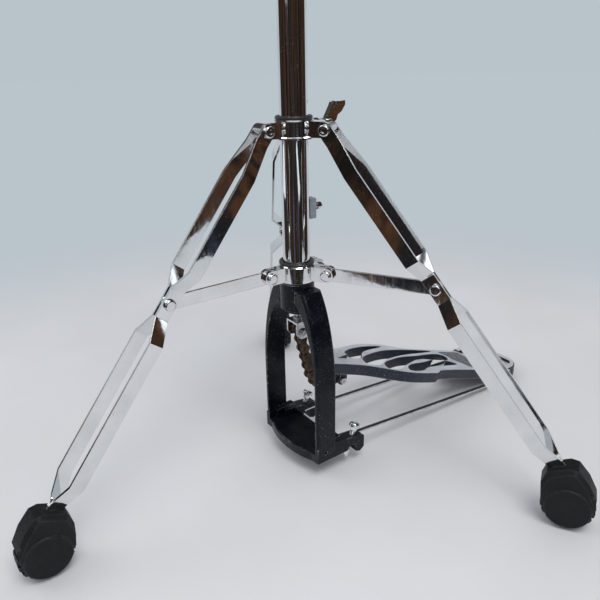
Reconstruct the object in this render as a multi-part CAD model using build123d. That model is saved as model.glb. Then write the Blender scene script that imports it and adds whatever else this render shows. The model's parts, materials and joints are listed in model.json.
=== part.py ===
from build123d import *
from math import acos, asin, atan2, cos, degrees, hypot, pi, radians, sin, sqrt
import os

# A double-braced hi-hat stand with a chain-drive pedal.  Millimetres, +Z up, floor at Z = 0.
# The upright tube stands at X = 0, Y = TUBE_Y, and the player and the pedal are on the -Y side.
# Shapes are built around the tube's own axis and moved by TUBE_Y when they are written.
# Words used below: a = distance from the tube axis towards the player, b = across the pedal (+X),
# r = distance from the tube axis in a leg's plane, w = sideways out of a leg's plane.

# ---------------------------------------------------------------- driving dimensions
TUBE_Y = 25.0                # the tube axis, so that the footprint is centred on the origin
FIT = 0.05                   # radial clearance of pins, screws and running fits
GAP = 0.3                    # side clearance between parts that turn against each other

TUBE_R = 14.3                # main tube, 28.6 mm (1 1/8 inch) outside
TUBE_WALL = 1.6
TUBE_BOTTOM, TUBE_TOP = 197.0, 612.0
INNER_TUBE_R = 11.1          # telescoping upper tube, 22.2 mm (7/8 inch) outside
INNER_TUBE_WALL = 1.3
INNER_TUBE_BOTTOM, INNER_TUBE_TOP = 540.0, 806.0
ROD_R = 3.0                  # 6 mm pull rod
ROD_BOTTOM, ROD_JOINT, ROD_TOP = 172.6, 430.0, 985.0
ROD_FREE_END = 30.0          # the free end above the clutch, below its marking groove

LEG_AZIMUTHS = (90.0, -150.0, -30.0)
LEG_ANGLE = 37.7             # from the vertical, stand open
PIVOT_R = 35.3               # leg and brace pivots, distance from the tube axis
LEG_PIVOT_Z = 381.3
KNEE_S = 184.8               # leg pivot to knee rivet, along the leg
LEG_END_S = 414.0
STRAP_WIDTH = 14.5
STRAP_THICK = 2.5
STRAP_W_TOP = 8.0            # strap centre plane beside the collar lug
STRAP_W_WIDE = 17.0          # strap centre plane in the parallel stretches
STRAP_W_KNEE = STRAP_THICK + GAP
RIVET_R = 3.2

FOOT_R, FOOT_CENTRE_R = 26.0, 295.0
FOOT_HALF = 9.5              # half thickness of the round pad
BLOCK_HALF = 13.5            # half thickness of the boot above it

COLLAR_R = 19.75
COLLAR_HALF = 9.0
BUSH_R = TUBE_R + 1.5

FRAME_HALF = 52.0            # outer half width of the cast pedal frame
FRAME_DEPTH = 13.0           # half depth of its uprights
FRAME_WALL = 5.5
FRAME_BOTTOM, FRAME_TOP = 20.0, 217.0
BASE_TOP = 30.0
BOSS_R = 18.5
BOSS_BOTTOM, BOSS_TOP = 190.0, 224.0
SPUR_B = 45.3                # spur bolts, distance from the pedal's centre plane
ROD_FRONT_B, ROD_REAR_B = 38.4, 42.0     # radius rods at the frame and at the heel plate
RADIUS_ROD_R = 2.5
SPUR_TILT = 20.0

HINGE_A, HINGE_Z = 330.0, 13.0
BOARD_TOE_A, BOARD_TOE_Z = 19.5, 127.0
BOARD_THICK = 13.0
HATCH_DEPTH = 1.6            # the sunk grip panel in front of the hinge
TOE_NOTCH_A = 24.5           # the toe is notched this far back for the swinging chain
HEEL_END_A, HEEL_TOP = 371.0, 19.0

CHAIN_PITCH = 12.7
CHAIN_TOP_Z = 166.0          # the stirrup screw
CHAIN_STRAIGHT = 5           # links between the stirrup and the toe cam
CHAIN_WRAPPED = 4            # links round the toe cam
CAM_A, CAM_Z = 44.0, 112.0   # centre of the toe cam
CHAIN_R = 29.0               # radius of the chain's pins round the cam
CAM_R = 22.5
PIN_R = 2.1

KNEE_R = PIVOT_R + KNEE_S * sin(radians(LEG_ANGLE))
BRACE_Z = LEG_PIVOT_Z - KNEE_S * cos(radians(LEG_ANGLE))
BRACE_LENGTH = KNEE_R - PIVOT_R

BASE_ALIGN = (Align.CENTER, Align.CENTER, Align.MIN)
LEG_DIR = Vector(sin(radians(LEG_ANGLE)), 0, -cos(radians(LEG_ANGLE)))
LEG_NORMAL = Vector(cos(radians(LEG_ANGLE)), 0, sin(radians(LEG_ANGLE)))
LEG_PIVOT = Vector(PIVOT_R, 0, LEG_PIVOT_Z)


# ---------------------------------------------------------------- helpers
def bar(radius, start, end):
    """A round bar between two points."""
    start = Vector(*start)
    axis = Vector(*end) - start
    return Plane(origin=start, z_dir=axis) * Cylinder(radius, axis.length, align=BASE_ALIGN)


def pipe(outer, inner, bottom, top):
    """A straight tube about the Z axis."""
    height = top - bottom
    wall = Cylinder(outer, height, align=BASE_ALIGN) - Cylinder(inner, height, align=BASE_ALIGN)
    return Pos(0, 0, bottom) * wall


def lathe(points):
    """A body turned about the Z axis from an (r, z) outline."""
    face = make_face(Plane.XZ * Polyline(*points, close=True))
    return revolve(face, Axis.Z, 360)


def outline(points):
    return make_face(Polyline(*points, close=True))


def side_slab(face, b_low, b_high):
    """A sketch in (a, z) made into a slab between two values of b."""
    plane = Plane(origin=(b_high, 0, 0), x_dir=(0, -1, 0), z_dir=(-1, 0, 0))
    return extrude(plane * face, b_high - b_low)


def both_sides(shape):
    """A part and its mirror image across the pedal's centre plane."""
    return shape + mirror(shape, Plane.YZ)


def pedal_point(a, b, z):
    return (b, -a, z)


def at_leg(shape, azimuth):
    return Rot(0, 0, azimuth) * shape


def round_ends(length_from, length_to, half):
    """A bar-shaped sketch with two round ends."""
    middle = (length_from + length_to) / 2
    span = length_to - length_from
    sketch = Pos(middle, 0) * Rectangle(span, 2 * half)
    return sketch + Pos(length_from, 0) * Circle(half) + Pos(length_to, 0) * Circle(half)


def ribbon(points, thickness):
    """The outline of a bent strip, given the points of its centre line."""
    left, right = [], []
    for index, point in enumerate(points):
        before = Vector(*points[max(index - 1, 0)])
        after = Vector(*points[min(index + 1, len(points) - 1)])
        here = Vector(*point)
        into = (here - before).normalized() if index > 0 else (after - here).normalized()
        out = (after - here).normalized() if index < len(points) - 1 else into
        normal = Vector(-(into.Y + out.Y), into.X + out.X, 0).normalized()
        reach = thickness / 2 / (normal.X * -into.Y + normal.Y * into.X)
        left.append(tuple(here + normal * reach)[:2])
        right.append(tuple(here - normal * reach)[:2])
    return left + right[::-1]


def cap_head(radius, height, socket, start, direction):
    """A domed screw or rivet head with a hexagon socket, standing on start."""
    plane = Plane(origin=Vector(*start), z_dir=Vector(*direction))
    head = Cylinder(radius, height, align=BASE_ALIGN)
    head = fillet(head.faces().sort_by(Axis.Z)[-1].edges(), height * 0.55)
    if socket > 0:
        recess = extrude(RegularPolygon(socket, 6), height * 0.6)
        head -= Pos(0, 0, height * 0.45) * recess
    return plane * head


def wing_screw(shank_r, tip_reach, hub_from):
    """A screw along +X with two flared wings in the XZ plane; its tip is at tip_reach."""
    hub_length = 12.0
    hub = bar(7.0, (hub_from, 0, 0), (hub_from + hub_length, 0, 0))
    hub = chamfer(hub.faces().sort_by(Axis.X)[-1].edges(), 1.5)
    wing = outline([
        (0.5, 0), (0.5, 5.5), (5.0, 7.0), (12.0, 19.0), (13.0, 21.5), (29.0, 22.5),
        (29.5, 18.0), (25.0, 12.0), (20.0, 9.0), (18.0, 4.0), (12.0, 0),
    ])
    blade = extrude(Plane.XZ * Pos(hub_from, 0) * wing, 2.6, both=True)
    blade = fillet(blade.edges().filter_by(Axis.Y).group_by(Axis.Z)[-1], 0.8)
    pad = Pos(hub_from + 22.5, 0, 20.4) * Box(12.5, 11.0, 3.6)
    blade += fillet(pad.edges().filter_by(Axis.Z), 2.5)
    return bar(shank_r, (tip_reach, 0, 0), (hub_from + 1, 0, 0)) + hub + blade + mirror(blade, Plane.XY)


# ---------------------------------------------------------------- pedal frame
def pedal_frame():
    """The cast arch: boss for the tube, two uprights, base plate and rear lugs."""
    arch_z, arch_height = 107.0, 128.0

    def arch(half, height, bottom, corner):
        edge = Line((corner - half, bottom), (half - corner, bottom))
        edge += CenterArc((half - corner, bottom + corner), corner, -90, 90)
        edge += Line((half, bottom + corner), (half, arch_z))
        edge += EllipticalCenterArc((0, arch_z), half, height, 0, arc_size=180)
        edge += Line((-half, arch_z), (-half, bottom + corner))
        edge += CenterArc((corner - half, bottom + corner), corner, 180, 90)
        return make_face(edge)

    outer = arch(FRAME_HALF, arch_height, FRAME_BOTTOM, 14.0)
    outer -= Pos(0, FRAME_TOP + 50) * Rectangle(200, 100)
    hoop = extrude(Plane.XZ * outer, FRAME_DEPTH, both=True)
    rims = [edge for edge in hoop.edges() if abs(abs(edge.center().Y) - FRAME_DEPTH) < 0.1]
    hoop = fillet([edge for edge in rims if edge.center().Z < FRAME_TOP - 1], 3.6)
    inner = arch(FRAME_HALF - FRAME_WALL, arch_height - 28, BASE_TOP - 6, 10.0)
    hoop -= extrude(Plane.XZ * inner, FRAME_DEPTH + 5, both=True)

    rim = make_face(
        ThreePointArc((-FRAME_HALF + 2, 9), (0, 20.5), (FRAME_HALF - 2, 9))
        + Polyline((FRAME_HALF - 2, 9), (FRAME_HALF - 2, -27), (-FRAME_HALF + 2, -27), (-FRAME_HALF + 2, 9))
    )
    base = Pos(0, 0, FRAME_BOTTOM) * extrude(rim, BASE_TOP - FRAME_BOTTOM)
    base = chamfer(base.faces().sort_by(Axis.Z)[-1].edges().sort_by(Axis.Y)[-1], 1.2)

    cheek = outline([
        (-FRAME_DEPTH, FRAME_BOTTOM + 1), (30, FRAME_BOTTOM + 1), (34, 26), (42, 26), (43, 15),
        (49, 13), (55, 17), (55, 32), (52, 35), (FRAME_DEPTH - 2, 40), (-FRAME_DEPTH, 40),
    ])
    cheeks = both_sides(side_slab(cheek, ROD_FRONT_B - 0.4, FRAME_HALF - 0.4))
    hollow = Pos(FRAME_HALF - 10.6, 12, 45) * Box(9.2, 34, 30)
    cheeks -= both_sides(hollow)
    ledge = Pos(FRAME_HALF - 8, -8, 43) * Box(9, 26, 2.4)
    bridge = extrude(Plane.XZ * Pos(0, 206) * Rectangle(60, 20), BOSS_R * 0.55, both=True)
    bridge &= extrude(Plane.XZ * outer, FRAME_DEPTH, both=True)

    boss = Pos(0, 0, BOSS_BOTTOM) * Cylinder(BOSS_R, BOSS_TOP - BOSS_BOTTOM, align=BASE_ALIGN)
    boss = chamfer(boss.faces().sort_by(Axis.Z)[0].edges(), 4.0)
    body = hoop + base + cheeks + both_sides(ledge) + bridge + boss
    body -= Pos(0, 0, TUBE_BOTTOM) * Cylinder(TUBE_R + FIT, 60, align=BASE_ALIGN)
    body -= Pos(0, 0, BOSS_BOTTOM - 1) * Cylinder(ROD_R + 0.5, 20, align=BASE_ALIGN)
    for side in (-1, 1):
        body -= spur_bolt_bore(side)
        groove_from = pedal_point(ROD_FRONT_A - 1, side * ROD_FRONT_B, ROD_FRONT_Z)
        groove_to = pedal_point(60, side * ROD_FRONT_B, ROD_FRONT_Z)
        body -= bar(RADIUS_ROD_R + FIT, groove_from, groove_to)
        body -= bar(2.2, pedal_point(-2, side * 60, 32), pedal_point(-2, side * 40, 32))
    return body


ROD_FRONT_A, ROD_FRONT_Z, ROD_REAR_Z = 34.0, 29.5, 7.5
SPUR_DIR = (-sin(radians(SPUR_TILT)), -cos(radians(SPUR_TILT)))
SPUR_A, SPUR_Z = 40.6, 34.0      # where a spur bolt's axis leaves the top of its lug
SPUR_R = 3.0


def spur_points(side):
    top = pedal_point(SPUR_A - 7.5 * SPUR_DIR[0], side * SPUR_B, SPUR_Z - 7.5 * SPUR_DIR[1])
    tip = pedal_point(SPUR_A + 23.5 * SPUR_DIR[0], side * SPUR_B, SPUR_Z + 23.5 * SPUR_DIR[1])
    return Vector(*top), Vector(*tip)


def spur_bolt_bore(side):
    top, tip = spur_points(side)
    return bar(SPUR_R + FIT, tuple(top), tuple(tip))


def spur_bolt(side):
    """An anti-creep spur: square-necked round head, threaded shank, pointed tip."""
    top, tip = spur_points(side)
    axis = (top - tip).normalized()
    point = Plane(origin=tip, z_dir=-axis) * Cone(SPUR_R, 0.6, 4.0, align=BASE_ALIGN)
    neck = Plane(origin=top, z_dir=axis) * extrude(RegularPolygon(5.2, 4), 4.5)
    head = cap_head(6.4, 5.4, 0, tuple(top + axis * 4.5), tuple(axis))
    return bar(SPUR_R, tuple(top), tuple(tip)) + point + neck + head


# ---------------------------------------------------------------- main tube and what it holds
SLOT_BOTTOM, SLOT_TOP = 266.0, 338.0
TENSION_Z = 300.5


def main_tube():
    tube = pipe(TUBE_R, TUBE_R - TUBE_WALL, TUBE_BOTTOM, TUBE_TOP)
    slot = round_ends(SLOT_BOTTOM + 3.2, SLOT_TOP - 3.2, 3.2)
    tube -= extrude(Plane(origin=(0, 0, 0), x_dir=(0, 0, 1), z_dir=(0, -1, 0)) * slot, TUBE_R + 2)
    return tube


def tension_block():
    """The grey slider that clamps the spring seat through the slot in the tube."""
    block = Pos(0, -(13.0 + 22.0) / 2, TENSION_Z) * Box(16, 9, 21)
    block = chamfer(block.faces().sort_by(Axis.Y)[0].edges(), 1.8)
    block -= bar(TUBE_R + FIT, (0, 0, TENSION_Z - 20), (0, 0, TENSION_Z + 20))
    return block - bar(2.5 + FIT, (0, -10, TENSION_Z), (0, -30, TENSION_Z))


def tension_screw():
    shank = bar(2.5, (0, -9.0, TENSION_Z), (0, -27.2, TENSION_Z))
    return shank + cap_head(3.9, 7.0, 2.0, (0, -27.0, TENSION_Z), (0, -1, 0))


def spring_seat():
    seat = pipe(TUBE_R - TUBE_WALL - 0.15, ROD_R + 0.4, TENSION_Z - 5, TENSION_Z + 5)
    return seat - bar(2.5 + FIT, (0, -8.5, TENSION_Z), (0, -20, TENSION_Z))


SPRING_R, SPRING_WIRE = 8.6, 1.1
SPRING_BOTTOM, SPRING_TOP = TENSION_Z + 5 + SPRING_WIRE, 399.0 - SPRING_WIRE


def spring():
    turns = 9
    height = SPRING_TOP - SPRING_BOTTOM
    path = Helix(pitch=height / turns, height=height, radius=SPRING_R)
    wire = Plane(origin=path @ 0, z_dir=path % 0) * Circle(SPRING_WIRE)
    return Pos(0, 0, SPRING_BOTTOM) * sweep(wire, path)


def lower_pull_rod():
    rod = bar(ROD_R, (0, 0, ROD_BOTTOM), (0, 0, ROD_JOINT))
    return rod + pipe(11.6, ROD_R - 0.5, 399.0, 405.0)


def rod_coupler():
    hexagon = Pos(0, 0, ROD_JOINT - 15) * extrude(RegularPolygon(5.8, 6), 30)
    return hexagon - bar(ROD_R + FIT, (0, 0, ROD_JOINT - 20), (0, 0, ROD_JOINT + 20))


def upper_pull_rod():
    rod = bar(ROD_R, (0, 0, ROD_JOINT), (0, 0, ROD_TOP))
    rod = chamfer(rod.faces().sort_by(Axis.Z)[-1].edges(), 0.8)
    groove_z = ROD_TOP - ROD_FREE_END
    return rod - pipe(ROD_R + 1, ROD_R - 0.25, groove_z - 0.8, groove_z)


# ---------------------------------------------------------------- tripod
def lug(end_r, half_w, half_z, z):
    """A radial lug on a collar, round at its outer end."""
    sketch = Pos((15 + end_r) / 2, 0) * Rectangle(end_r - 15, 2 * half_z) + Pos(end_r, 0) * Circle(half_z)
    return Pos(0, 0, z) * extrude(Plane.XZ * sketch, half_w, both=True)


def collar_body(z, lip):
    points = [(TUBE_R, z - COLLAR_HALF), (COLLAR_R + lip, z - COLLAR_HALF), (COLLAR_R + lip, z - COLLAR_HALF + 1.6),
              (COLLAR_R, z - COLLAR_HALF + 2.6), (COLLAR_R, z + COLLAR_HALF - 1.2),
              (COLLAR_R - 1.2, z + COLLAR_HALF), (TUBE_R, z + COLLAR_HALF)]
    return lathe(points)


def upper_collar():
    z = LEG_PIVOT_Z
    body = collar_body(z, 1.2)
    half_w = STRAP_W_TOP - STRAP_THICK / 2 - GAP
    for azimuth in LEG_AZIMUTHS:
        body += at_leg(lug(PIVOT_R, half_w, 7.6, z), azimuth)
    body += bar(8.0, (0, -15, z), (0, -27.5, z))
    body -= Pos(0, 0, z - 20) * Cylinder(BUSH_R + FIT, 40, align=BASE_ALIGN)
    for azimuth in LEG_AZIMUTHS:
        hole = bar(RIVET_R + FIT, (PIVOT_R, -15, z), (PIVOT_R, 15, z))
        body -= at_leg(hole, azimuth)
    return body - bar(4.0 + FIT, (0, -10, z), (0, -30, z))


def collar_bush(z, flange_top, flange_r, screw_hole):
    """The nylon sleeve between a collar and the tube, with a flared flange above."""
    top = z + COLLAR_HALF
    points = [(TUBE_R + FIT, z - COLLAR_HALF), (BUSH_R, z - COLLAR_HALF), (BUSH_R, top + 0.1),
              (flange_r, top + 0.1), (flange_r, top + flange_top - 0.8), (flange_r - 0.8, top + flange_top),
              (TUBE_R + 1.6, top + flange_top), (TUBE_R + FIT, top + flange_top * 0.55)]
    sleeve = lathe(points)
    if screw_hole > 0:
        sleeve -= bar(screw_hole, (0, -10, z), (0, -20, z))
    return sleeve


def tripod_wing_screw():
    screw = wing_screw(4.0, TUBE_R + 0.1, 33.0)
    return Pos(0, 0, LEG_PIVOT_Z) * Rot(0, 0, -90) * screw


CLEVIS_HALF_W = 6.2


def lower_collar():
    z = BRACE_Z
    body = collar_body(z, 0.0)
    for azimuth in LEG_AZIMUTHS:
        body += at_leg(lug(PIVOT_R, CLEVIS_HALF_W, 7.8, z), azimuth)
    body += Pos(0, -22, z) * Box(17, 14, 15)
    body -= Pos(0, 0, z - 20) * Cylinder(BUSH_R + FIT, 40, align=BASE_ALIGN)
    slot = Pos(PIVOT_R + 2, 0, z) * Box(32, STRAP_THICK + 2 * GAP, 40)
    slot &= Pos(27 + 20, 0, z) * Box(40, 10, 60)
    for azimuth in LEG_AZIMUTHS:
        body -= at_leg(slot, azimuth)
        body -= at_leg(bar(RIVET_R + FIT, (PIVOT_R, -15, z), (PIVOT_R, 15, z)), azimuth)
    body -= Pos(0, -27, z) * Box(2.0, 30, 40)
    return body - bar(3.0 + FIT, (-12, -25, z), (12, -25, z))


def lower_collar_bolt():
    z = BRACE_Z
    bolt = bar(3.0, (-8.6, -25, z), (12, -25, z))
    bolt += cap_head(5.4, 5.0, 2.9, (-8.5, -25, z), (-1, 0, 0))
    nut = Plane(origin=(8.6, -25, z), z_dir=(1, 0, 0)) * extrude(RegularPolygon(5.6, 6), 4.4)
    return bolt + nut


def leg_straps():
    """The two mirrored flat straps of one leg, in the leg's plane at azimuth 0."""
    course = [
        (-STRAP_WIDTH / 2, STRAP_W_TOP), (13.9, STRAP_W_TOP), (47.6, STRAP_W_WIDE), (150.3, STRAP_W_WIDE),
        (170.0, STRAP_W_KNEE), (200.2, STRAP_W_KNEE), (222.2, STRAP_W_WIDE), (369.4, STRAP_W_WIDE),
        (396.0, STRAP_THICK / 2 + FIT), (LEG_END_S, STRAP_THICK / 2 + FIT),
    ]
    face_plane = Plane(origin=LEG_PIVOT, x_dir=LEG_DIR, z_dir=LEG_NORMAL)
    side_plane = Plane(origin=LEG_PIVOT, x_dir=LEG_DIR, z_dir=(0, -1, 0))
    strap = extrude(face_plane * outline(ribbon(course, STRAP_THICK)), STRAP_WIDTH / 2, both=True)
    shape = round_ends(0, LEG_END_S - STRAP_WIDTH / 2, STRAP_WIDTH / 2)
    strap &= extrude(side_plane * shape, 40, both=True)
    for distance in (0.0, KNEE_S):
        centre = LEG_PIVOT + LEG_DIR * distance
        strap -= bar(RIVET_R + FIT, (centre.X, -30, centre.Z), (centre.X, 30, centre.Z))
    return [strap, mirror(strap, Plane.XZ)]


def leg_top_rivet():
    outer = STRAP_W_TOP + STRAP_THICK / 2
    shank = bar(RIVET_R, (PIVOT_R, -outer - 0.5, LEG_PIVOT_Z), (PIVOT_R, outer + 0.5, LEG_PIVOT_Z))
    for side in (-1, 1):
        shank += cap_head(5.6, 3.2, 2.6, (PIVOT_R, side * outer, LEG_PIVOT_Z), (0, side, 0))
    return shank


def knee_rivet():
    """Two rivet halves; the middle is left open, where the linkage is opened."""
    inner, outer = STRAP_THICK / 2 + 0.2, STRAP_W_KNEE + STRAP_THICK / 2
    halves = []
    for side in (-1, 1):
        half = bar(RIVET_R, (KNEE_R, side * inner, BRACE_Z), (KNEE_R, side * (outer + 0.5), BRACE_Z))
        halves.append(half + cap_head(5.8, 3.4, 0, (KNEE_R, side * outer, BRACE_Z), (0, side, 0)))
    return halves


def brace():
    shape = round_ends(PIVOT_R, KNEE_R, 7.0)
    strap = Pos(0, 0, BRACE_Z) * extrude(Plane.XZ * shape, STRAP_THICK / 2, both=True)
    strap -= bar(RIVET_R + FIT, (PIVOT_R, -5, BRACE_Z), (PIVOT_R, 5, BRACE_Z))
    return strap - bar(RIVET_R + 1.0, (KNEE_R, -5, BRACE_Z), (KNEE_R, 5, BRACE_Z))


def brace_rivet():
    outer = CLEVIS_HALF_W
    shank = bar(RIVET_R, (PIVOT_R, -outer - 0.5, BRACE_Z), (PIVOT_R, outer + 0.5, BRACE_Z))
    for side in (-1, 1):
        shank += cap_head(5.6, 3.0, 0, (PIVOT_R, side * outer, BRACE_Z), (0, side, 0))
    return shank


def foot():
    """A rubber boot: a block round the strap ends over a round pad with a toothed rim."""
    centre = FOOT_CENTRE_R
    block = outline([
        (centre - 25, FOOT_R), (centre - 28, 48), (centre - 24, 61), (centre - 3, 70.5), (centre + 5, 69.5),
        (centre + 16, 57), (centre + 24.5, 41), (centre + 23.5, 29), (centre + 18, FOOT_R),
    ])
    block = extrude(Plane.XZ * block, BLOCK_HALF, both=True)
    upper_edges = [edge for edge in block.edges() if edge.center().Z > 45 and abs(edge.center().Y) > 1]
    block = chamfer(upper_edges, 4.0)
    pad = Plane.XZ * Circle(FOOT_R)
    pad = Pos(centre, 0, FOOT_R) * extrude(pad, FOOT_HALF, both=True)
    pad = chamfer(pad.edges(), 1.5)
    face = Pos(centre, 0, FOOT_R) * extrude(Plane.XZ * Circle(FOOT_R - 3.5), BLOCK_HALF + 1.2, both=True)
    body = block + pad + chamfer(face.edges(), 1.0)
    notch = Box(4.2, 2 * FOOT_HALF + 2, 5.0)
    for step in range(13):
        angle = -80.0 + 20.0 * (step - 6)
        x = centre + FOOT_R * cos(radians(angle))
        z = FOOT_R + FOOT_R * sin(radians(angle))
        if angle > -190:
            body -= Pos(x, 0, z) * Rot(0, -angle + 90, 0) * notch
    strap_slot = Box(LEG_END_S - 380 + FIT, 2 * (STRAP_THICK + 2 * FIT), STRAP_WIDTH + 2 * FIT)
    middle = LEG_PIVOT + LEG_DIR * ((LEG_END_S + 380) / 2)
    slot_plane = Plane(origin=middle, x_dir=LEG_DIR, z_dir=LEG_NORMAL)
    body -= slot_plane * strap_slot
    mouth = outline([(376, 17), (398.5, 2.9), (398.5, -2.9), (376, -17)])
    mouth_plane = Plane(origin=LEG_PIVOT, x_dir=LEG_DIR, z_dir=LEG_NORMAL)
    return body - extrude(mouth_plane * mouth, STRAP_WIDTH / 2 + 1.0, both=True)


# ---------------------------------------------------------------- pedal
def board_top(a):
    return BOARD_TOE_Z - (a - BOARD_TOE_A) * BOARD_SLOPE


BOARD_SLOPE = (BOARD_TOE_Z - HINGE_Z - 6.0) / (HINGE_A - BOARD_TOE_A)
BOARD_ANGLE = degrees(atan2(BOARD_SLOPE, 1))
BOARD_SIDE = [(30, 24), (55, 25), (80, 29), (105, 39), (130, 48), (155, 50.5), (178, 50)]
BOARD_TAIL = [(200, 40), (225, 38), (318, 37)]
BOARD_SLOTS = [
    [(72, 0), (76, 10), (94, 25), (121, 36), (146, 42), (167, 43), (136, 29), (103, 9), (82, -6)],
    [(84, -20), (90, -7), (113, 9), (148, 24), (188, 32), (256, 31), (204, 18), (156, 4), (120, -14), (93, -26)],
    [(106, -34), (111, -24), (136, -8), (168, 4), (206, 11), (264, 11), (262, 6), (204, -2), (168, -14), (139, -30), (117, -39)],
    [(139, -39), (146, -30), (167, -19), (195, -12), (252, -9), (256, -16), (246, -21), (200, -27), (174, -35), (158, -43)],
]


def board_plane(drop=0.0):
    """The plane of the board's top; local x runs from the toe to the heel, local y is b."""
    direction = Vector(0, -cos(radians(BOARD_ANGLE)), -sin(radians(BOARD_ANGLE)))
    normal = Vector(0, -sin(radians(BOARD_ANGLE)), cos(radians(BOARD_ANGLE)))
    toe = Vector(0, -BOARD_TOE_A, BOARD_TOE_Z)
    return Plane(origin=toe - normal * drop, x_dir=direction, z_dir=normal)


def on_board(points):
    """(a, b) points laid onto the board's plane, as distances along the board."""
    stretch = 1 / cos(radians(BOARD_ANGLE))
    return [((a - BOARD_TOE_A) * stretch, b) for a, b in points]


def footboard():
    side = on_board(BOARD_SIDE)
    tail = on_board(BOARD_TAIL)
    near = [(x, -y) for x, y in side]
    near_tail = [(x, -y) for x, y in tail]
    edge = Line((0, 9), (0, -9)) + ThreePointArc((0, 9), (2.5, 18), side[0]) + Spline(*side)
    edge += Spline(side[-1], tail[0], tangents=[(1, -0.25), (1, -0.1)]) + Polyline(*tail)
    edge += Line(tail[-1], near_tail[-1]) + Polyline(*near_tail)
    edge += Spline(near[-1], near_tail[0], tangents=[(1, 0.25), (1, 0.1)])
    edge += Spline(*near) + ThreePointArc(near[0], (2.5, -18), (0, -9))
    face = make_face(edge)
    board = extrude(board_plane() * face, -BOARD_THICK)
    for slot in BOARD_SLOTS:
        opening = make_face(Spline(*on_board(slot), periodic=True))
        board -= extrude(board_plane(-1) * opening, -BOARD_THICK - 2)
    hatch = outline(on_board([(269, 30), (312, 30), (312, -30), (264, -30), (264, 0), (269, 5)]))
    board -= extrude(board_plane() * hatch, -HATCH_DEPTH)
    board -= extrude(board_plane(6.0) * outline(on_board([(252, 31), (312, 31), (312, -31), (252, -31)])), -BOARD_THICK)

    cam = Pos(CAM_A, CAM_Z) * Circle(CAM_R)
    cam &= Pos(CAM_A, CAM_Z - 14) * Rectangle(2 * CAM_R + 1, 36)
    cam_block = side_slab(cam, -6.0, 6.0)
    anchor = chain_points()[-1]
    ear = Pos(*anchor) * Circle(6.0) + Pos(anchor[0] + 2, (anchor[1] + 110) / 2) * Rectangle(10, 110 - anchor[1])
    ears = both_sides(side_slab(ear, 6.6, 9.6))
    ears -= bar(PIN_R + FIT, pedal_point(anchor[0], -20, anchor[1]), pedal_point(anchor[0], 20, anchor[1]))
    board += cam_block + ears

    knuckle = Pos(HINGE_A, HINGE_Z) * Circle(6.0)
    knuckle += outline([(314, HINGE_Z - 2), (314, HINGE_Z + 8.5), (HINGE_A, HINGE_Z + 6), (HINGE_A, HINGE_Z - 5.9)])
    for low, high in ((-30, -6), (6, 30)):
        board += side_slab(knuckle, low, high)
    bore = bar(3.0 + FIT, (-60, -HINGE_A, HINGE_Z), (60, -HINGE_A, HINGE_Z))
    chain_room = bar(CAM_R + 14, pedal_point(CAM_A, -6.4, CAM_Z), pedal_point(CAM_A, 6.4, CAM_Z))
    chain_room -= bar(CAM_R, pedal_point(CAM_A, -7, CAM_Z), pedal_point(CAM_A, 7, CAM_Z))
    chain_room &= Pos(0, -CAM_A, 88) * Box(14, 200, 36)
    toe_notch = Pos(0, -TOE_NOTCH_A / 2, 115) * Box(13, TOE_NOTCH_A, 44)
    return board - bore - chain_room - toe_notch


def heel_plate():
    """The heel casting behind the hinge, with a sunk panel and knuckles for the pin."""
    outer = Pos(0, -(338 + HEEL_END_A) / 2) * Rectangle(84, HEEL_END_A - 338)
    plate = Pos(0, 0, 3.0) * extrude(outer, HEEL_TOP - 3.0)
    corners = plate.edges().filter_by(Axis.Z).group_by(Axis.Y)[0]
    plate = fillet(corners, 24.0)
    plate = chamfer(plate.faces().sort_by(Axis.Z)[-1].edges(), 1.5)
    panel = Pos(0, -354.5) * RectangleRounded(64, 17, 8)
    plate -= Pos(0, 0, HEEL_TOP - 5) * extrude(panel, 10)
    arm = outline([(322, 3), (322, 16), (327, HEEL_TOP + 1), (340, HEEL_TOP), (340, 3)])
    for low, high in ((38.3, 46.0), (-46.0, -38.3)):
        plate += side_slab(arm, low, high)
    knuckle = Pos(HINGE_A, HINGE_Z) * Circle(6.0)
    knuckle += outline([(HINGE_A, 7.1), (HINGE_A, HINGE_Z + 6), (339, HEEL_TOP), (339, 5)])
    plate += side_slab(knuckle, -5.6, 5.6)
    plate -= bar(3.0 + FIT, (-60, -HINGE_A, HINGE_Z), (60, -HINGE_A, HINGE_Z))
    for side in (-1, 1):
        socket_from = pedal_point(300, side * ROD_REAR_B, ROD_REAR_Z)
        socket_to = pedal_point(352, side * ROD_REAR_B, ROD_REAR_Z)
        plate -= bar(RADIUS_ROD_R + FIT, socket_from, socket_to)
    return plate


def heel_pads():
    pads = []
    for side in (-1, 1):
        pad = Pos(side * 26, -354, 0) * Cylinder(9.0, 3.0, align=BASE_ALIGN)
        pads.append(chamfer(pad.faces().sort_by(Axis.Z)[0].edges(), 0.6))
    return pads


def hinge_pin():
    pin = bar(3.0, (-46.5, -HINGE_A, HINGE_Z), (46.5, -HINGE_A, HINGE_Z))
    for side in (-1, 1):
        pin += cap_head(5.2, 2.8, 0, (side * 46.2, -HINGE_A, HINGE_Z), (side, 0, 0))
    return pin


def radius_rod(side):
    """A round rod from the frame's lug to the heel plate."""
    front = pedal_point(ROD_FRONT_A, side * ROD_FRONT_B, ROD_FRONT_Z)
    out_of_lug = pedal_point(60.0, side * ROD_FRONT_B, ROD_FRONT_Z)
    into_heel = pedal_point(306.0, side * ROD_REAR_B, ROD_REAR_Z)
    rear = pedal_point(348.0, side * ROD_REAR_B, ROD_REAR_Z)
    path = FilletPolyline(front, out_of_lug, into_heel, rear, radius=20)
    start = Plane(origin=path @ 0, z_dir=path % 0)
    return sweep(start * Circle(RADIUS_ROD_R), path)


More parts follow.
